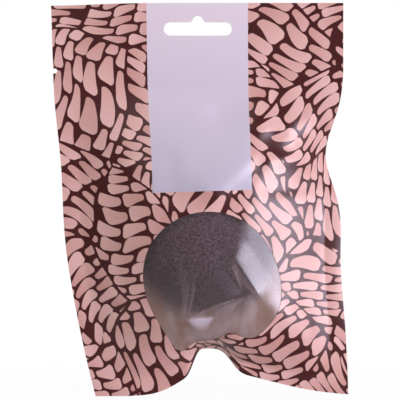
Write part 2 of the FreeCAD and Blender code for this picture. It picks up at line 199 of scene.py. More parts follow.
def fold(x, z, start, end, rise, right, left):
    """A soft ridge: its rise times a bell on either side of the line and a bell beyond its ends."""
    aside, from_middle, half = along_line(x, z, start, end)
    beyond = np.maximum(0, from_middle - half)
    width = np.where(aside > 0, right, left)
    return rise * np.exp(-((aside / width) ** 2) - (2 * beyond / (right + left)) ** 2)


def crease(x, z, start, end, rise, right, left):
    """A sharp ridge: flat slopes on either side of the line, with a bell beyond its ends."""
    aside, from_middle, half = along_line(x, z, start, end)
    beyond = np.maximum(0, from_middle - half)
    width = np.where(aside > 0, right, left)
    tent = soft_ramp(1 - np.sqrt(aside**2 + crest_radius**2) / width)
    return rise * tent * np.exp(-((2 * beyond / (right + left)) ** 2))


crest_radius = 0.4 * mm
FRONT_FOLDS = [
    (place(343, 390), place(278, 313), 1.4 * mm, 8 * mm, 6 * mm),
    (place(104, 390), place(160, 330), 1.0 * mm, 6 * mm, 7 * mm),
    (place(252, 186), place(326, 92), 0.8 * mm, 8 * mm, 7 * mm),
    (place(150, 192), place(74, 92), 0.7 * mm, 8 * mm, 8 * mm),
    (place(326, 136), place(268, 128), 0.6 * mm, 4 * mm, 3 * mm),
    (place(330, 158), place(270, 162), 1.1 * mm, 4 * mm, 4 * mm),
    (place(332, 184), place(268, 190), -0.6 * mm, 4 * mm, 4 * mm),
    (place(236, 256), place(242, 214), 0.7 * mm, 8 * mm, 4 * mm),
    (place(256, 97), place(220, 111), -1.8 * mm, 5 * mm, 9 * mm),
    (place(257, 130), place(258, 104), 1.7 * mm, 5 * mm, 9 * mm),
    (place(250, 156), place(214, 190), 2.0 * mm, 9 * mm, 5.5 * mm),
    (place(173, 196), place(171, 160), -0.5 * mm, 5 * mm, 7 * mm),
]
WINDOW_CREASES = [
    (place(255, 291), place(232, 257), 1.4 * mm, 9 * mm, 2.5 * mm),
    (place(241, 290), place(224, 264), -0.7 * mm, 2.2 * mm, 7 * mm),
    (place(190, 314), place(242, 295), 0.9 * mm, 8 * mm, 2 * mm),
    (place(186, 314), place(195, 276), -0.8 * mm, 1.5 * mm, 2.5 * mm),
    (place(201, 330), place(188, 314), 0.9 * mm, 5 * mm, 2 * mm),
    (place(182, 312), place(175, 250), 0.9 * mm, 4 * mm, 4 * mm),
    (place(163, 314), place(163, 264), -0.6 * mm, 3.5 * mm, 3.5 * mm),
]


def front_relief(x, z):
    """All folds and creases of the front wall added up, outwards."""
    soft = sum(fold(x, z, *line) for line in FRONT_FOLDS)
    return soft + sum(crease(x, z, *line) for line in WINDOW_CREASES)


print(len(FRONT_FOLDS), "folds and", len(WINDOW_CREASES), "window creases")

# %% One wall of the panel
# The folds run out where the bulge is less than a sixth of its full depth.
free_rise = 6


def panel_wall(across, height, side):
    """Place of a spot: edges give x, curl, seam, bulge and folds give y, and height and lift give z."""
    left, right = panel_sides(height)
    narrow, _ = seam_arch(across)
    curl = bell(height, curl_height, curl_half) * across**CURL_REACH
    x = left + across * (right - left) - curl_depth * curl
    z = bottom_level + height + seam_lift(across) * fold_share(height, side)
    y = curl_back * curl + seam_back * narrow * np.maximum(0, 1 - height / seal_width)
    y = y + edge_turn * bell(height, edge_turn_height, edge_turn_half) * across**EDGE_REACH
    y = y + side * bulge_depth[side] * pillow(across, height, side)
    if side == FRONT:
        free = np.minimum(1, pillow(across, height, side) * free_rise)
        y = y - front_relief(x, z) * free
    return np.stack([x, y, z], axis=-1)


# %% [markdown]
# The strip above the tear line is flat. It leans out a little at its top left corner, which is bent back.

# %% The strip
corner_lean, corner_bend, corner_reach = 1.2 * mm, 2.5 * mm, 26 * mm
corner_drop = 0.4 * corner_bend


def strip_wall(across, height, side):
    """Flat film: its left edge leans outwards with the height, and its top left corner bends backwards."""
    above = (height - panel_height) / (film_height - panel_height)
    x = (across - 0.5) * film_width - corner_lean * above * (1 - across) ** 2
    from_corner = np.hypot(across * film_width, film_height - height)
    bend = np.exp(-((from_corner / corner_reach) ** 2)) * above
    y = corner_bend * bend
    z = bottom_level + height - corner_drop * bend
    return np.stack([x, y, z], axis=-1)


# %% [markdown]
# The openings are found on the flat film by their signed distance, which is negative inside the opening.
# Grid points next to an outline are moved onto it, so that the cut edge is smooth, and the faces inside go.

# %% Openings on the flat film
window_radius = 34 * mm
window_across, window_height = 2.9 * mm, 52.9 * mm
WINDOW_PULLS = [(-114, 20, 8.5 * mm), (-79, 17, -10.5 * mm), (-43, 18, -2.6 * mm)]
notch_radius, notch_inset = 1.2 * mm, 0.8 * mm
slot_half_length, slot_half_height = 12.8 * mm, 3.2 * mm
rise_radius, rise_height, rise_flare = 2.5 * mm, 3.7 * mm, 1.6 * mm
slot_height = film_height - top_level


def window_distance(flat_x, height):
    """Distance to a circle whose radius has bells at some angles, where the arch pulls its lower edge."""
    angle = np.degrees(np.arctan2(height - window_height, flat_x - window_across))
    pulls = sum(amount * np.exp(-(((angle - middle) / half) ** 2)) for middle, half, amount in WINDOW_PULLS)
    return np.hypot(flat_x - window_across, height - window_height) - window_radius - pulls


def notch_distance(flat_x, height):
    """Distance to a small circle on the left edge at the tear line."""
    return np.hypot(flat_x + film_width / 2 - notch_inset, height - panel_height) - notch_radius


def slot_distance(flat_x, height):
    """Distance to a straight slot with round ends, blended into a round rise in its middle."""
    up = height - slot_height
    straight = np.hypot(np.maximum(0, np.abs(flat_x) - slot_half_length), up) - slot_half_height
    rise = np.hypot(flat_x, up - rise_height) - rise_radius
    blend = np.maximum(0, rise_flare - np.abs(straight - rise))
    return np.minimum(straight, rise) - blend**2 / (4 * rise_flare)


# %% From a flat grid to a film
# Both are shares of the grid's step.
snap_reach, edge_band = 0.6, 0.02


def flat_grid(low, high, step, openings):
    """A grid over the width and a range of heights, with points next to an opening moved onto its edge."""
    columns = round(film_width / step) + 1
    rows = round((high - low) / step) + 1
    flat_x, height = np.meshgrid(
        np.linspace(-film_width / 2, film_width / 2, columns), np.linspace(low, high, rows), indexing="ij"
    )
    small = 0.01 * mm
    for distance in openings:
        away = distance(flat_x, height)
        slope_x = (distance(flat_x + small, height) - away) / small
        slope_z = (distance(flat_x, height + small) - away) / small
        steepness = slope_x**2 + slope_z**2
        near = np.abs(away) <= snap_reach * step * np.sqrt(steepness)
        inner = np.zeros_like(near)
        inner[1:-1, 1:-1] = True
        flat_x = np.where(near & inner, flat_x - away * slope_x / steepness, flat_x)
        height = np.where(near & inner, height - away * slope_z / steepness, height)
    return flat_x, height


def grid_faces(shape):
    """Corner numbers of every square of a grid, in order round the square."""
    number = np.arange(shape[0] * shape[1]).reshape(shape)
    corners = (number[:-1, :-1], number[1:, :-1], number[1:, 1:], number[:-1, 1:])
    return np.stack(corners, axis=-1).reshape(-1, 4)


def cut_faces(squares, away, step):
    """Squares outside the openings, and the outer halves of squares that an edge crosses corner to corner."""
    on_edge = np.abs(away) < edge_band * step
    inside = away < -edge_band * step
    touches = inside[squares].any(axis=1)
    kept = squares[~touches & ~on_edge[squares].all(axis=1)]
    crossed = squares[touches & ~(inside | on_edge)[squares].all(axis=1)]
    halves = []
    for first in range(4):
        corner = [(first + k) % 4 for k in (3, 0, 1)]
        half = crossed[:, corner]
        outside = ~inside[half].any(axis=1) & ~on_edge[half[:, 1]]
        halves.append(half[outside])
    return kept, np.concatenate(halves)


def film_normals(points, side):
    """Outward direction: the cross product of the two grid directions, turned round on the back wall."""
    normal = np.cross(np.gradient(points, axis=0), np.gradient(points, axis=1))
    normal = normal / np.linalg.norm(normal, axis=-1, keepdims=True)
    return normal if side == FRONT else -normal


# %% Mesh helpers


def new_piece(name, vertices, faces, flat=None):
    """A smooth mesh object at the origin, with the flat film as its UV map if it has one."""
    mesh = bpy.data.meshes.new(name)
    mesh.from_pydata(vertices.tolist(), [], faces)
    mesh.polygons.foreach_set("use_smooth", [True] * len(mesh.polygons))
    if flat is not None:
        corner_vertices = np.zeros(len(mesh.loops), dtype=int)
        mesh.loops.foreach_get("vertex_index", corner_vertices)
        uv = mesh.uv_layers.new(name="flat_film")
        uv.data.foreach_set("uv", flat[corner_vertices].astype(np.float32).ravel())
    mesh.update()
    piece = bpy.data.objects.new(name, mesh)
    bpy.context.scene.collection.objects.link(piece)
    return piece


def film(name, node, body, side, wall, heights, step, distance, openings):
    """One film: a wall on a flat grid, moved out along its normals, with its openings and its thickness."""
    low, high = heights
    flat_x, height = flat_grid(low, high, step, openings)
    base = wall(flat_x / film_width + 0.5, height, side)
    points = base + film_normals(base, side) * distance
    away = np.minimum.reduce([opening(flat_x, height) for opening in openings])
    kept, halves = cut_faces(grid_faces(flat_x.shape), away.ravel(), step)
    if side == BACK:
        kept, halves = kept[:, ::-1], halves[:, ::-1]
    flat = np.stack([flat_x.ravel() + film_width / 2, height.ravel()], axis=-1) / film_height
    used, numbers = np.unique(np.concatenate([kept.ravel(), halves.ravel()]), return_inverse=True)
    squares = numbers[: kept.size].reshape(-1, 4).tolist()
    triangles = numbers[kept.size :].reshape(-1, 3).tolist()
    piece = new_piece(name, points.reshape(-1, 3)[used], squares + triangles, flat[used])
    thick = piece.modifiers.new("ply", "SOLIDIFY")
    thick.thickness = ply
    thick.offset = 0
    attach(piece, body)
    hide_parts(node)
    open_area = sum(step**2 * (opening(flat_x, height) < 0).sum() for opening in openings)
    print(f"{name}: {len(squares) + len(triangles)} faces")
    return piece


# %% [markdown]
# The four films of the panel: printed and clear, in front and behind. Only the printed front has the window.

# %% Panel films
panel_heights = (0.0, panel_height)
panel_step = {FRONT: 0.72 * mm, BACK: 1 * mm}
panel = {}
for name, side, distance, openings in (
    ("front_printed_panel", FRONT, printed_middle, [window_distance, notch_distance]),
    ("front_clear_panel", FRONT, clear_middle, [notch_distance]),
    ("back_clear_panel", BACK, clear_middle, [notch_distance]),
    ("back_printed_panel", BACK, printed_middle, [notch_distance]),
):
    node = name.replace("panel", "film")
    panel[name] = film(
        name, node, "pouch", side, panel_wall, panel_heights,
        panel_step[side], distance, openings
    )

# %% [markdown]
# The four films of the tear-off strip: all have the hanging slot and the upper half of the notch.

# %% Strip films
strip_heights = (panel_height, film_height)
strip_step = 0.5 * mm
strip = {}
for name, side, distance in (
    ("strip_printed_front", FRONT, printed_middle),
    ("strip_clear_front", FRONT, clear_middle),
    ("strip_clear_back", BACK, clear_middle),
    ("strip_printed_back", BACK, printed_middle),
):
    place_word, finish_word = name.split("_")[2], name.split("_")[1]
    openings = [slot_distance, notch_distance]
    strip[name] = film(
        name, f"strip_{place_word}_{finish_word}", "tear_strip", side, strip_wall, strip_heights,
        strip_step, distance, openings
    )

# %% [markdown]
# The sponge is moulded: a shallow dome, a round rim and a flat back. It is a profile turned about an axis
# that points to the front, and small dents are pressed into it for the open pores of the dry foam.

# %% The sponge
sponge_rim, sponge_skin = 9 * mm, 0.35 * mm
profile_steps, sponge_spokes = 90, 240
DENT_WAVES = [(3.1 * mm, 0.4), (2.3 * mm, 1.7), (1.7 * mm, 2.9), (4.7 * mm, 4.1)]
dome_front, sponge_back = -sponge_low[1], sponge_high[1]
sponge_thickness = dome_front + sponge_back
rim_middle = sponge_radius - sponge_rim
dome_radius = (rim_middle**2 + (sponge_thickness - sponge_rim) ** 2 - sponge_rim**2) / (
    2 * (sponge_thickness - 2 * sponge_rim)
)
dome_centre = dome_radius - dome_front
rim_depth = sponge_back - sponge_rim


def sponge_profile(count):
    """Radius and depth from the tip of the dome round the rim to the middle of the back."""
    turn = math.atan2(rim_middle, dome_centre - rim_depth)
    dome = np.linspace(0, turn, count)
    rim = np.linspace(turn, math.pi, count // 2)[1:]
    back = np.linspace(1, 0, count // 2)[1:]
    radius = [dome_radius * np.sin(dome), rim_middle + sponge_rim * np.sin(rim), rim_middle * back]
    depth = [dome_centre - dome_radius * np.cos(dome), rim_depth - sponge_rim * np.cos(rim)]
    depth.append(np.full(len(back), sponge_back))
    return np.concatenate(radius), np.concatenate(depth)


def sponge_dents(points):
    """Pairs of crossed waves, each pair multiplied, and the pairs added up: an uneven field from 0 to 1."""
    field = 0
    for length, turn in DENT_WAVES:
        way = np.array([math.cos(turn), math.sin(1.3 * turn), math.sin(turn)])
        other = np.roll(way, 1)
        wave = 2 * math.pi / length
        field = field + np.sin(points @ way * wave) * np.sin(points @ other * wave)
    return 0.5 + field / (2 * len(DENT_WAVES))


def sponge_piece():
    """The profile turned full circle, with its dents pressed inwards."""
    radius, depth = sponge_profile(profile_steps)
    turns = np.linspace(0, 2 * math.pi, sponge_spokes, endpoint=False)
    ring_radius, ring_depth = radius[1:-1], depth[1:-1]
    x = sponge_middle[0] + np.outer(ring_radius, np.cos(turns))
    z = sponge_middle[2] + np.outer(ring_radius, np.sin(turns))
    y = np.repeat(ring_depth[:, None], len(turns), axis=1)
    points = np.stack([x, y, z], axis=-1)
    inwards = sponge_middle - points
    inwards = inwards / np.linalg.norm(inwards, axis=-1, keepdims=True)
    points = points + inwards * (sponge_skin * sponge_dents(points))[..., None]
    tip = [sponge_middle[0], depth[0] + sponge_skin / 2, sponge_middle[2]]
    hub = [sponge_middle[0], depth[-1] - sponge_skin / 2, sponge_middle[2]]
    vertices = np.concatenate([points.reshape(-1, 3), [tip, hub]])
    rings, spokes = x.shape
    number = np.arange(rings * spokes).reshape(rings, spokes)
    after = np.roll(number, -1, axis=1)
    squares = np.stack([number[:-1], after[:-1], after[1:], number[1:]], axis=-1).reshape(-1, 4)[:, ::-1]
    tip_number, hub_number = rings * spokes, rings * spokes + 1
    front = np.stack([np.full(spokes, tip_number), number[0], after[0]], axis=-1)
    rear = np.stack([np.full(spokes, hub_number), after[-1], number[-1]], axis=-1)
    return new_piece("sponge_foam", vertices, squares.tolist() + front.tolist() + rear.tolist())


sponge = sponge_piece()
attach(sponge, "sponge")
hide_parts("konjac_sponge")
print("sponge:", len(sponge.data.polygons), "faces")

# %% [markdown]
# Haze: frosted film shows what lies against it and hides what is further behind. Three attributes carry
# this. "cover" grows with the gap between the film and the dome, and the material reads it as opacity. "milk"
# is zero over the sponge and one beyond its edge. The flap share is film folded double beside a crease, which
# adds to both and is paler. It also carries painted highlights: the glare of fold facets and light lines
# along creases.

# %% Haze of the clear films
milk_from, milk_to = sponge_radius - 6 * mm, sponge_radius + 6 * mm
far_gap, flap_edge, flap_fade = 12 * mm, 0.9 * mm, 1.5 * mm
# A fullness above one keeps a flap even beside its crease before it fades.
flap_fullness, flap_cover = 1.4, 0.6
# Each row is a flap beside a crease: doubled film, and a painted highlight for the glare of a fold facet or a
# light line.
FLAPS_AND_GLARE = [
    (place(255, 291), place(232, 257), -4 * mm, 0.35),
    (place(190, 314), place(242, 295), 7 * mm, 0.25),
    (place(189, 315), place(211, 313), 10 * mm, 0.9),
    (place(184, 322), place(178, 254), 5 * mm, 0.12),
    (place(241, 292), place(227, 258), 2.2 * mm, 0.5),
    (place(187, 314), place(194, 274), 2.2 * mm, 0.4),
    (place(241, 296), place(192, 315), 2.4 * mm, 0.4),
]


def flap_and_glare_share(x, z):
    """Sum over the flaps of a share that fades and narrows away from the crease, on the side of its width:
    doubled film and painted highlight.
    """
    total = 0
    for start, end, width, amount in FLAPS_AND_GLARE:
        aside, from_middle, half = along_line(x, z, start, end)
        share = np.clip(aside / width, 0, 1)
        beyond = np.maximum(0, from_middle - half * (1 - share))
        start_share = share * abs(width) / flap_edge
        inside = np.minimum(1, np.minimum(start_share, flap_fullness * (1 - share)))
        total = total + amount * inside * np.exp(-((beyond / flap_fade) ** 2))
    return total


def store_haze(piece):
    """Store the three shares: from the gap to the dome, the distance to the sponge's axis and the flaps,
    which carry painted highlights.
    """
    places = np.zeros(len(piece.data.vertices) * 3)
    piece.data.vertices.foreach_get("co", places)
    x, y, z = places.reshape(-1, 3).T
    aside = np.hypot(x - sponge_middle[0], z - sponge_middle[2])
    dome = dome_centre - np.sqrt(np.maximum(0, dome_radius**2 - aside**2))
    gap = np.where(aside < sponge_radius, dome - y, far_gap)
    step = np.clip((aside - milk_from) / (milk_to - milk_from), 0, 1)
    flap_and_glare = flap_and_glare_share(x, z)
    values = {
        "cover": np.clip(gap / far_gap, 0, 1) + flap_cover * flap_and_glare,
        "milk": np.clip(step**2 * (3 - 2 * step) + flap_and_glare, 0, 1),
        "flap_and_glare": np.clip(flap_and_glare, 0, 1),
    }
    for name, value in values.items():
        attribute = piece.data.attributes.new(name, "FLOAT", "POINT")
        attribute.data.foreach_set("value", value)
        print(f"{piece.name}: {name} {value.min():.2f} to {value.max():.2f}")


for piece in (panel["front_clear_panel"], panel["back_clear_panel"],
              strip["strip_clear_front"], strip["strip_clear_back"]):
    store_haze(piece)

# %% [markdown]
# Materials are node trees. Small helpers keep them readable: one adds a node and fills its inputs with values
# or links, and the others each stand for one common node.

# %% Node helpers


def new_material(name):
    """A material with an empty tree apart from the shader and the output, and its tree and shader."""
    material = bpy.data.materials.new(name)
    material.use_nodes = True
    tree = material.node_tree
    shader = next(node for node in tree.nodes if node.type == "BSDF_PRINCIPLED")
    return material, tree, shader


def add_node(tree, kind, inputs=None, **settings):
    """A new node with its settings, and its inputs set to values or linked to sockets."""
    node = tree.nodes.new(kind)
    for key, value in settings.items():
        setattr(node, key, value)
    for key, value in (inputs or {}).items():
        if isinstance(value, bpy.types.NodeSocket):
            tree.links.new(value, node.inputs[key])
        else:
            node.inputs[key].default_value = value
    return node


def calculate(tree, operation, *values):
    """The result of one arithmetic step."""
    return add_node(tree, "ShaderNodeMath", dict(enumerate(values)), operation=operation).outputs[0]


def remap(tree, value, low, high, to_low=0.0, to_high=1.0, interpolation="LINEAR"):
    """A value taken from one range to another, and held at the ends of the range."""
    inputs = {0: value, 1: low, 2: high, 3: to_low, 4: to_high}
    return add_node(tree, "ShaderNodeMapRange", inputs, interpolation_type=interpolation).outputs[0]


def noise(tree, where, scale, detail):
    """A soft random field from 0 to 1."""
    inputs = {"Vector": where, "Scale": scale, "Detail": detail}
    return add_node(tree, "ShaderNodeTexNoise", inputs).outputs[0]


def object_place(tree):
    """Place on the piece, in metres."""
    return add_node(tree, "ShaderNodeTexCoord").outputs["Object"]


def attribute(tree, name):
    """Value of a vertex attribute."""
    return add_node(tree, "ShaderNodeAttribute", attribute_name=name).outputs["Fac"]


def mix_colours(tree, share, first, second):
    """First colour at 0, second at 1."""
    inputs = {"Factor": share, 6: first, 7: second}
    return add_node(tree, "ShaderNodeMix", inputs, data_type="RGBA").outputs[2]


def colour(red, green, blue):
    """A colour picked as 0 to 255 on screen, as the linear values that a shader takes."""
    shares = np.array([red, green, blue]) / 255
    linear = np.where(shares <= 0.04045, shares / 12.92, ((shares + 0.055) / 1.055) ** 2.4)
    return (*linear.tolist(), 1.0)


# %% [markdown]
# The print: rounded drops of salmon pink on dark maroon, laid side by side in patches that each run in a
# direction of their own. Large Voronoi cells are the patches. Inside a patch the plane is turned by the
# patch's own angle and cut into columns, and each column is cut into lengths that hold one drop.
# A lilac label runs down from the top edge, with painted shade towards its foot. The sizes of the print are
# in millimetres.

# %% Printed film
deep_pink, pale_pink, maroon = colour(208, 152, 142), colour(236, 189, 181), colour(70, 7, 10)
# The label fades to a darker foot: painted shade, where the film under it tilts up away from the light.
label_top, label_foot_painted_shade = colour(234, 219, 230), colour(199, 190, 207)
patch_size, bend, bend_length = 40, 14, 30
drop_width, drop_length, drop_gap, drop_taper = 5.4, 14, 1.3, 0.3
drop_overhang, ink_edge = 2.2, 0.12
tone_least, tone_spread, tone_change = 0.2, 0.6, 0.7
label_left, label_right = -23.9, 23.5
label_bottom, label_slant = 96.2, 0.03


def flat_millimetres(tree):
    """Millimetres across from the centre line and up from the bottom edge, from the UV map."""
    uv = add_node(tree, "ShaderNodeUVMap", uv_map="flat_film").outputs[0]
    split = add_node(tree, "ShaderNodeSeparateXYZ", {0: uv})
    across = calculate(tree, "MULTIPLY", split.outputs[0], film_height / mm)
    across = calculate(tree, "SUBTRACT", across, film_width / 2 / mm)
    up = calculate(tree, "MULTIPLY", split.outputs[1], film_height / mm)
    return across, up


def patches(tree, where):
    """Number of the patch at a place, from 0 to a full turn, its middle, and the distance to its border."""
    inputs = {"Vector": where, "Scale": 1 / patch_size}
    cell = add_node(tree, "ShaderNodeTexVoronoi", inputs, voronoi_dimensions="2D").outputs
    edge = add_node(
        tree, "ShaderNodeTexVoronoi", inputs, voronoi_dimensions="2D", feature="DISTANCE_TO_EDGE"
    )
    border = calculate(tree, "MULTIPLY", edge.outputs["Distance"], patch_size)
    number = calculate(tree, "MULTIPLY", cell["Color"], 2 * math.pi)
    return number, cell["Position"], border


def drop_cell(tree, turned, patch_number):
    """Place across and along one drop's cell, from its middle, and a random number for the drop."""
    split = add_node(tree, "ShaderNodeSeparateXYZ", {0: turned})
    column = calculate(tree, "FLOOR", calculate(tree, "DIVIDE", split.outputs[0], drop_width))
    column_middle = calculate(tree, "ADD", column, 0.5)
    aside = calculate(tree, "MULTIPLY_ADD", column_middle, -drop_width, split.outputs[0])
    key = add_node(tree, "ShaderNodeCombineXYZ", {0: column, 1: patch_number}).outputs[0]
    slip = add_node(tree, "ShaderNodeTexWhiteNoise", {"Vector": key}, noise_dimensions="2D")
    slipped = calculate(tree, "MULTIPLY_ADD", slip.outputs["Value"], drop_length, split.outputs[1])
    row = calculate(tree, "FLOOR", calculate(tree, "DIVIDE", slipped, drop_length))
    row_middle = calculate(tree, "ADD", row, 0.5)
    along = calculate(tree, "MULTIPLY_ADD", row_middle, -drop_length, slipped)
    own_key = add_node(tree, "ShaderNodeCombineXYZ", {0: column, 1: patch_number, 2: row}).outputs[0]
    chance = add_node(tree, "ShaderNodeTexWhiteNoise", {"Vector": own_key}, noise_dimensions="3D")
    return aside, along, chance.outputs["Value"]


def drop_distance(tree, aside, along):
    """Distance in millimetres to a drop: a short line with a radius that grows along it."""
    radius = (drop_width - drop_gap) / 2
    half = (drop_length - drop_gap) / 2 - radius
    past_half = calculate(tree, "SUBTRACT", calculate(tree, "ABSOLUTE", along), half)
    beyond = calculate(tree, "MAXIMUM", past_half, 0.0)
    aside_squared = calculate(tree, "MULTIPLY", aside, aside)
    away = calculate(tree, "SQRT", calculate(tree, "MULTIPLY_ADD", beyond, beyond, aside_squared))
    growing = calculate(tree, "MULTIPLY_ADD", along, drop_taper * radius / half, radius)
    return calculate(tree, "SUBTRACT", away, growing)


def turn_about(tree, where, middle, angle, invert=False):
    """A place in the plane turned about a middle."""
    inputs = {"Vector": where, "Center": middle, "Angle": angle}
    return add_node(tree, "ShaderNodeVectorRotate", inputs, rotation_type="Z_AXIS", invert=invert).outputs[0]


def whole_drop(tree, turned, aside, along, middle, patch_number):
    """One for a drop whose middle lies in its own patch or close to a border, which leaves few slivers."""
    offset = add_node(tree, "ShaderNodeCombineXYZ", {0: aside, 1: along}).outputs[0]
    moved = add_node(tree, "ShaderNodeVectorMath", {0: turned, 1: offset}, operation="SUBTRACT").outputs[0]
    centre = turn_about(tree, moved, middle, patch_number, invert=True)
    centre_number, _, centre_border = patches(tree, centre)
    same_patch = calculate(tree, "COMPARE", centre_number, patch_number, 0.001)
    near_border = calculate(tree, "LESS_THAN", centre_border, drop_overhang)
    return calculate(tree, "MAXIMUM", same_patch, near_border)


def drop_print(tree, across, up):
    """One on a drop and zero in the gaps between drops and between patches, and the tone from 0 to 1."""
    where = add_node(tree, "ShaderNodeCombineXYZ", {0: across, 1: up}).outputs[0]
    slow_inputs = {"Vector": where, "Scale": 1 / bend_length, "Detail": 0.0}
    slow = add_node(tree, "ShaderNodeTexNoise", slow_inputs, noise_dimensions="2D").outputs["Color"]
    grey_inputs = {0: slow, 1: (0.5, 0.5, 0.5)}
    centred = add_node(tree, "ShaderNodeVectorMath", grey_inputs, operation="SUBTRACT").outputs[0]
    bend_inputs = {0: centred, 1: (bend, bend, 0), 2: where}
    bent = add_node(tree, "ShaderNodeVectorMath", bend_inputs, operation="MULTIPLY_ADD").outputs[0]
    patch_number, middle, border = patches(tree, bent)
    turned = turn_about(tree, bent, middle, patch_number)
    aside, along, chance = drop_cell(tree, turned, patch_number)
    outside = calculate(tree, "SUBTRACT", drop_gap / 2, border)
    away = calculate(tree, "SMOOTH_MAX", drop_distance(tree, aside, along), outside, drop_gap)
    inside = remap(tree, away, ink_edge, -ink_edge, interpolation="SMOOTHSTEP")
    kept = whole_drop(tree, turned, aside, along, middle, patch_number)
    own_tone = calculate(tree, "MULTIPLY_ADD", chance, tone_spread, tone_least)
    tone = calculate(tree, "MULTIPLY_ADD", along, tone_change / drop_length, own_tone)
    return calculate(tree, "MULTIPLY", inside, kept), tone


def on_label(tree, across, up):
    """One on the label: right of its left edge, left of its right edge and above its bottom edge."""
    inside = calculate(tree, "GREATER_THAN", across, label_left)
    inside = calculate(tree, "MULTIPLY", inside, calculate(tree, "LESS_THAN", across, label_right))
    bottom = calculate(tree, "MULTIPLY_ADD", across, label_slant, label_bottom)
    return calculate(tree, "MULTIPLY", inside, calculate(tree, "GREATER_THAN", up, bottom))


def film_crinkle(tree, where, strength):
    """A fine unevenness of the film, as a bump."""
    inputs = {"Height": noise(tree, where, 160.0, 3.0), "Strength": strength, "Distance": 0.3 * mm}
    return add_node(tree, "ShaderNodeBump", inputs).outputs[0]


def printed_film(name, has_label):
    """Matt laminate: the print as colour, painted shade at the label's foot, a slightly uneven roughness and
    a fine crinkle.
    """
    material, tree, shader = new_material(name)
    across, up = flat_millimetres(tree)
    on_drop, tone = drop_print(tree, across, up)
    inks = mix_colours(tree, on_drop, maroon, mix_colours(tree, tone, deep_pink, pale_pink))
    if has_label:
        # Painted shade: the label darkens towards its foot.
        share_up = remap(tree, up, label_bottom, film_height / mm)
        label = mix_colours(tree, share_up, label_foot_painted_shade, label_top)
        inks = mix_colours(tree, on_label(tree, across, up), inks, label)
    tree.links.new(inks, shader.inputs["Base Color"])
    where = object_place(tree)
    roughness = remap(tree, noise(tree, where, 60.0, 2.0), 0.0, 1.0, 0.25, 0.35)
    tree.links.new(roughness, shader.inputs["Roughness"])
    tree.links.new(film_crinkle(tree, where, 0.15), shader.inputs["Normal"])
    shader.inputs["Specular IOR Level"].default_value = 0.5
    return material


def ink_backing():
    """The inner face of the printed film: white ink behind the colours, with their faint shadow."""
    material, tree, shader = new_material("ink_backing")
    across, up = flat_millimetres(tree)
    on_drop, _ = drop_print(tree, across, up)
    shown = mix_colours(tree, on_drop, colour(196, 172, 172), colour(222, 198, 194))
    tree.links.new(shown, shader.inputs["Base Color"])
    shader.inputs["Roughness"].default_value = 0.6
    return material


front_print, back_print = printed_film("front_print", True), printed_film("back_print", False)
backing = ink_backing()
for piece in (panel["front_printed_panel"], strip["strip_printed_front"]):
    piece.data.materials.append(front_print)
for piece in (panel["back_printed_panel"], strip["strip_printed_back"]):
    piece.data.materials.append(back_print)
for piece in (panel["front_printed_panel"], panel["back_printed_panel"],
              strip["strip_printed_front"], strip["strip_printed_back"]):
    piece.data.materials.append(backing)
    piece.modifiers["ply"].material_offset = 1
print("printed film on 4 pieces")

# %% [markdown]
# The clear film is frosted: it dulls what lies against it a little, and catches the light in a broad gloss.

# %% Clear film
# The double-film colour is partly painted highlight: the pale glare of fold facets and of light lines along
# creases.
smoke, double_film_and_glare = colour(66, 36, 46), colour(240, 226, 240)
warm_milk, pale_milk = colour(172, 126, 108), colour(216, 188, 190)


def clear_film():
    """Frosted film: smoky over the sponge, milky with soft streaks beyond it, paler with painted highlights
    beside creases, and a strong broad gloss.
    """
    material, tree, shader = new_material("clear_film")
    where = object_place(tree)
    opacity = remap(tree, attribute(tree, "cover"), 0.0, 2.0, 0.2, 0.68)
    tree.links.new(opacity, shader.inputs["Alpha"])
    drawn = add_node(tree, "ShaderNodeMapping", {"Vector": where, "Scale": (110, 110, 30)}).outputs[0]
    streaks = remap(tree, noise(tree, drawn, 1.0, 2.0), 0.35, 0.65)
    milky = mix_colours(tree, streaks, warm_milk, pale_milk)
    haze = mix_colours(tree, attribute(tree, "milk"), smoke, milky)
    # Painted highlight: beside the creases the colour turns towards the pale double-film colour.
    flap_and_glare = attribute(tree, "flap_and_glare")
    double_and_glare = calculate(tree, "MULTIPLY", flap_and_glare, flap_and_glare)
    tree.links.new(mix_colours(tree, double_and_glare, haze, double_film_and_glare), shader.inputs["Base Color"])
    tree.links.new(film_crinkle(tree, where, 0.12), shader.inputs["Normal"])
    shader.inputs["Roughness"].default_value = 0.32
    shader.inputs["IOR"].default_value = 1.8
    shader.inputs["Specular IOR Level"].default_value = 1.0
    return material


clear = clear_film()
for piece in (panel["front_clear_panel"], panel["back_clear_panel"],
              strip["strip_clear_front"], strip["strip_clear_back"]):
    piece.data.materials.append(clear)
print("clear film on 4 pieces")

# %% [markdown]
# The thickness of each film is made final here, with its materials in place. The cut edges are marked sharp,
# because smooth shading round such a thin edge would draw a dark line along it.

# %% Cut edges of the films


def make_thickness_final(piece):
    """Replace the mesh by its solidified form, with every edge sharp where faces meet at over 60 degrees."""
    ready = piece.evaluated_get(bpy.context.evaluated_depsgraph_get())
    solid = bpy.data.meshes.new_from_object(ready)
    solid.set_sharp_from_angle(angle=math.radians(60))
    piece.modifiers.clear()
    piece.data = solid


films = list(panel.values()) + list(strip.values())
for piece in films:
    make_thickness_final(piece)
print("films:", sum(len(piece.data.polygons) for piece in films), "faces")

# %% [markdown]
# The foam is plant fibre dyed with charcoal: very dark, slightly brown. Its fine pores are painted darker
# still, as shade in them.

# %% Charcoal foam
pore_shade, fibre_grey = colour(36, 27, 31), colour(174, 144, 154)


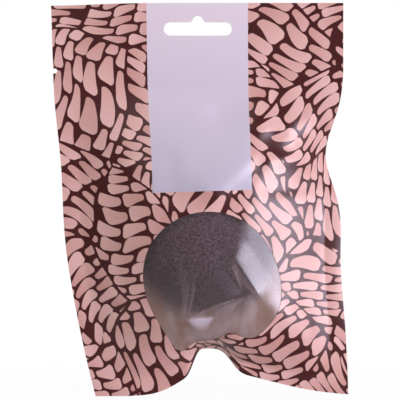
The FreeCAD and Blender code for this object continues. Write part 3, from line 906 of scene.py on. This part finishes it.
def charcoal_foam():
    """Dark foam: pores from small Voronoi cells and a fine grain, as bump and as painted shade in the colour.
    """
    material, tree, shader = new_material("charcoal_foam")
    where = object_place(tree)
    pores = add_node(tree, "ShaderNodeTexVoronoi", {"Vector": where, "Scale": 900.0}).outputs["Distance"]
    depth = calculate(tree, "MULTIPLY", remap(tree, pores, 0.1, 0.55), noise(tree, where, 700.0, 4.0))
    # Painted shade: the colour is darkest at the bottom of each pore.
    foam = mix_colours(tree, depth, pore_shade, fibre_grey)
    tree.links.new(foam, shader.inputs["Base Color"])
    bump = add_node(tree, "ShaderNodeBump", {"Height": depth, "Strength": 0.7, "Distance": 0.4 * mm})
    tree.links.new(bump.outputs[0], shader.inputs["Normal"])
    shader.inputs["Roughness"].default_value = 0.95
    shader.inputs["Specular IOR Level"].default_value = 0.2
    return material


sponge.data.materials.append(charcoal_foam())
print("charcoal foam on the sponge")

# %% [markdown]
# The studio: a white surround, a pale floor that fades into it, a tall soft light from the right like a
# window, a weak one from above left and one from behind. The camera looks straight at the front from far
# away, through a long lens.

# %% Floor and surround
room_in_gloss, floor_grey = 0.7, 0.7
fade_from, fade_to, least_white = 0.05, 0.2, 0.96


def pale_floor(name, half):
    """A square at the lowest point of the pouch that is lit near the pouch and fades into plain white."""
    corners = np.array([(-half, -half), (half, -half), (half, half), (-half, half)])
    level = np.full((4, 1), bottom_level)
    floor = new_piece(name, np.hstack([corners, level]), [[0, 1, 2, 3]])
    material, tree, shader = new_material(name)
    shader.inputs["Base Color"].default_value = (floor_grey, floor_grey, floor_grey, 1)
    shader.inputs["Roughness"].default_value = 0.9
    shader.inputs["Specular IOR Level"].default_value = 0.0
    white = add_node(tree, "ShaderNodeEmission", {"Color": (1, 1, 1, 1), "Strength": 1.0}).outputs[0]
    flat_inputs = {0: object_place(tree), 1: (1, 1, 0)}
    flat_place = add_node(tree, "ShaderNodeVectorMath", flat_inputs, operation="MULTIPLY").outputs[0]
    away = add_node(tree, "ShaderNodeVectorMath", {0: flat_place}, operation="LENGTH").outputs["Value"]
    fade = remap(tree, away, fade_from, fade_to, least_white, 1.0, "SMOOTHSTEP")
    light = add_node(tree, "ShaderNodeLightPath").outputs
    seen = calculate(tree, "MAXIMUM", light["Is Camera Ray"], light["Is Transmission Ray"])
    share = calculate(tree, "MULTIPLY", fade, seen)
    mixed = add_node(tree, "ShaderNodeMixShader", {0: share, 1: shader.outputs[0], 2: white}).outputs[0]
    output = next(node for node in tree.nodes if node.type == "OUTPUT_MATERIAL")
    tree.links.new(mixed, output.inputs["Surface"])
    floor.data.materials.append(material)
    return floor


def white_surround(dim, bright, bright_way):
    """A soft room, brighter on one side and darker in the gloss, with a white backdrop behind the pouch."""
    world = bpy.data.worlds.new("surround")
    world.use_nodes = True
    tree = world.node_tree
    tree.nodes.clear()
    direction = add_node(tree, "ShaderNodeTexCoord").outputs["Generated"]
    facing = add_node(tree, "ShaderNodeVectorMath", {0: direction, 1: bright_way}, operation="DOT_PRODUCT")
    light = add_node(tree, "ShaderNodeLightPath").outputs
    strength = remap(tree, facing.outputs["Value"], -1.0, 1.0, dim, bright)
    gloss_share = remap(tree, light["Is Glossy Ray"], 0.0, 1.0, 1.0, room_in_gloss)
    strength = calculate(tree, "MULTIPLY", strength, gloss_share)
    soft_inputs = {"Color": (1.0, 0.98, 1.0, 1), "Strength": strength}
    soft = add_node(tree, "ShaderNodeBackground", soft_inputs).outputs[0]
    white = add_node(tree, "ShaderNodeBackground", {"Color": (1, 1, 1, 1), "Strength": 1.0}).outputs[0]
    depth = add_node(tree, "ShaderNodeSeparateXYZ", {0: direction}).outputs[1]
    behind = remap(tree, depth, -0.2, 0.3)
    through = calculate(tree, "MAXIMUM", light["Is Glossy Ray"], light["Is Transmission Ray"])
    shown = calculate(tree, "MULTIPLY", through, behind)
    seen = calculate(tree, "MAXIMUM", light["Is Camera Ray"], shown)
    mixed = add_node(tree, "ShaderNodeMixShader", {0: seen, 1: soft, 2: white}).outputs[0]
    output = add_node(tree, "ShaderNodeOutputWorld", {"Surface": mixed})
    bpy.context.scene.world = world
    return output


pale_floor("floor", 0.24)
white_surround(0.2, 0.52, (0.35, -0.93, 0.0))
bpy.context.scene.view_settings.view_transform = "Standard"
print("floor at", round(bottom_level, 4))

# %% Lights
pouch_middle = np.array([0.85 * mm, 0.0, -80.5 * mm])


def soft_light(name, azimuth, elevation, distance, size, power, tint=(1, 1, 1)):
    """An area light that faces the pouch, from a direction counted from the front to the right."""
    turn, up = math.radians(azimuth), math.radians(elevation)
    way = np.array([math.sin(turn) * math.cos(up), -math.cos(turn) * math.cos(up), math.sin(up)])
    data = bpy.data.lights.new(name, "AREA")
    data.shape = "RECTANGLE"
    data.size, data.size_y = size
    data.energy = power
    data.color = tint
    lamp = bpy.data.objects.new(name, data)
    lamp.location = pouch_middle + way * distance
    lamp.rotation_euler = (math.pi / 2 - up, 0, turn)
    bpy.context.scene.collection.objects.link(lamp)
    return lamp


soft_light("right_window", 55, 7, 0.9, (0.32, 0.46), 5.4, (0.88, 0.83, 1.0))
soft_light("left_fill", -30, 50, 1.2, (0.9, 0.9), 2.5)
soft_light("back_fill", 165, 45, 1.2, (0.9, 0.9), 8.0)

# %% Camera
view_width = 400 / photo_scale * mm
camera_data = bpy.data.cameras.new("camera")
camera_data.lens = 135
camera_data.sensor_width = 36
camera = bpy.data.objects.new("camera", camera_data)
camera_distance = view_width * camera_data.lens / camera_data.sensor_width
camera.location = pouch_middle + np.array([0, -camera_distance, 0])
camera.rotation_euler = (math.pi / 2, 0, 0)
bpy.context.scene.collection.objects.link(camera)
bpy.context.scene.camera = camera
print(f"camera {camera_distance:.3f} m in front")
